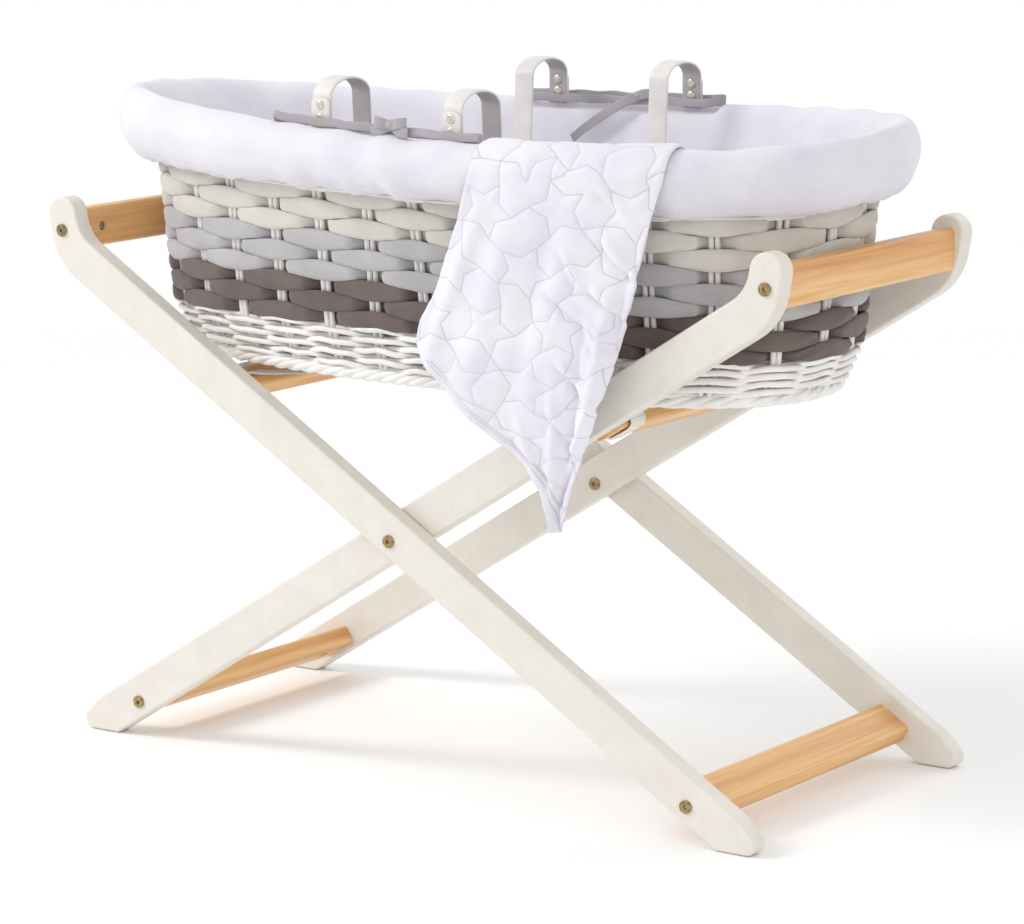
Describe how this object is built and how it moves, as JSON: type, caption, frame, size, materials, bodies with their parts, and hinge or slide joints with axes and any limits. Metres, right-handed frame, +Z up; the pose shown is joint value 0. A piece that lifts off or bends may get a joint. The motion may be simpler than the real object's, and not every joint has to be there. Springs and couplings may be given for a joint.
{
  "type": "moses basket",
  "caption": "Oval woven carrying basket for a baby, with a padded fabric liner, carrying handles and a quilted coverlet, resting on a folding cross-legged wooden stand with pine rails.",
  "frame": {"origin": "on the floor under the middle of the stand, halfway between its feet", "axes": "+Z up, +X along the basket towards the end that the inner frame's upper arms hold, +Y across the basket away from the side where the coverlet hangs"},
  "size_m": [0.858, 0.4565, 0.6785],
  "materials": {
    "painted_wood": "satin cream paint",
    "pine": "clear satin lacquer",
    "brass_plate": "satin plated",
    "zinc_steel": "zinc plated",
    "webbing": "woven webbing",
    "white_willow": "white stain",
    "cream_fabric": "matte weave",
    "light_grey_fabric": "matte weave",
    "dark_taupe_fabric": "matte weave",
    "white_cotton": "plain weave",
    "quilted_cotton": "quilted plain weave",
    "mattress_cover": "jersey cover over foam",
    "grey_cotton": "plain weave",
    "leatherette": "matte",
    "pale_brass": "polished"
  },
  "bodies": {
    "outer_frame": {"outer_leg_front": "painted_wood", "outer_leg_rear": "painted_wood", "outer_top_rail": "pine", "outer_support_rail": "pine", "outer_bottom_rail": "pine", "outer_rail_bolts": "brass_plate", "outer_barrel_nuts": "brass_plate", "outer_dowels": "pine", "pivot_bolts": "brass_plate", "pivot_sleeve_nuts": "brass_plate", "pivot_washers": "zinc_steel", "near_webbing_strap": "webbing", "far_webbing_strap": "webbing"},
    "inner_frame": {"inner_leg_front": "painted_wood", "inner_leg_rear": "painted_wood", "inner_top_rail": "pine", "inner_support_rail": "pine", "inner_bottom_rail": "pine", "inner_rail_bolts": "brass_plate", "inner_barrel_nuts": "brass_plate", "inner_dowels": "pine"},
    "basket": {"basket_base": "white_willow", "bottom_border": "white_willow", "willow_band": "white_willow", "upright_canes": "white_willow", "weaver_row_1": "dark_taupe_fabric", "weaver_row_2": "dark_taupe_fabric", "weaver_row_3": "dark_taupe_fabric", "weaver_row_4": "light_grey_fabric", "weaver_row_5": "light_grey_fabric", "weaver_row_6": "light_grey_fabric", "weaver_row_7": "cream_fabric", "weaver_row_8": "cream_fabric", "weaver_row_9": "cream_fabric", "rim_border": "white_willow", "liner": "white_cotton", "mattress": "mattress_cover", "coverlet": "quilted_cotton", "near_binding": "grey_cotton", "far_binding": "grey_cotton", "near_bow": "grey_cotton", "far_ribbon": "grey_cotton", "near_handle_tabs": "leatherette", "far_handle_tabs": "leatherette", "near_rivets": "pale_brass", "far_rivets": "pale_brass"},
    "near_handle": {"near_handle_strap": "leatherette"},
    "far_handle": {"far_handle_strap": "leatherette"}
  },
  "joints": [
    {"name": "stand_fold", "type": "hinge", "parent": "outer_frame", "child": "inner_frame", "pos_m": [0, 0, 0.244], "axis": [0, -1, 0], "range_deg": [0, 100], "deforming": ["near_webbing_strap", "far_webbing_strap"]},
    {"name": "basket_lift", "type": "slide", "parent": "outer_frame", "child": "basket", "axis": [-0.1532, 0, 0.9882], "range_m": [0, 2.182]},
    {"name": "near_handle_swing", "type": "hinge", "parent": "basket", "child": "near_handle", "pos_m": [0, -0.16, 0.658], "axis": [1, 0, 0], "range_deg": [0, 150], "deforming": ["near_handle_strap"]},
    {"name": "far_handle_swing", "type": "hinge", "parent": "basket", "child": "far_handle", "pos_m": [0, 0.16, 0.658], "axis": [-1, 0, 0], "range_deg": [0, 150], "deforming": ["far_handle_strap"]}
  ],
  "couplings": [
    {"joint": "basket_lift", "follows": "stand_fold", "m_per_rad": 1.25}
  ]
}
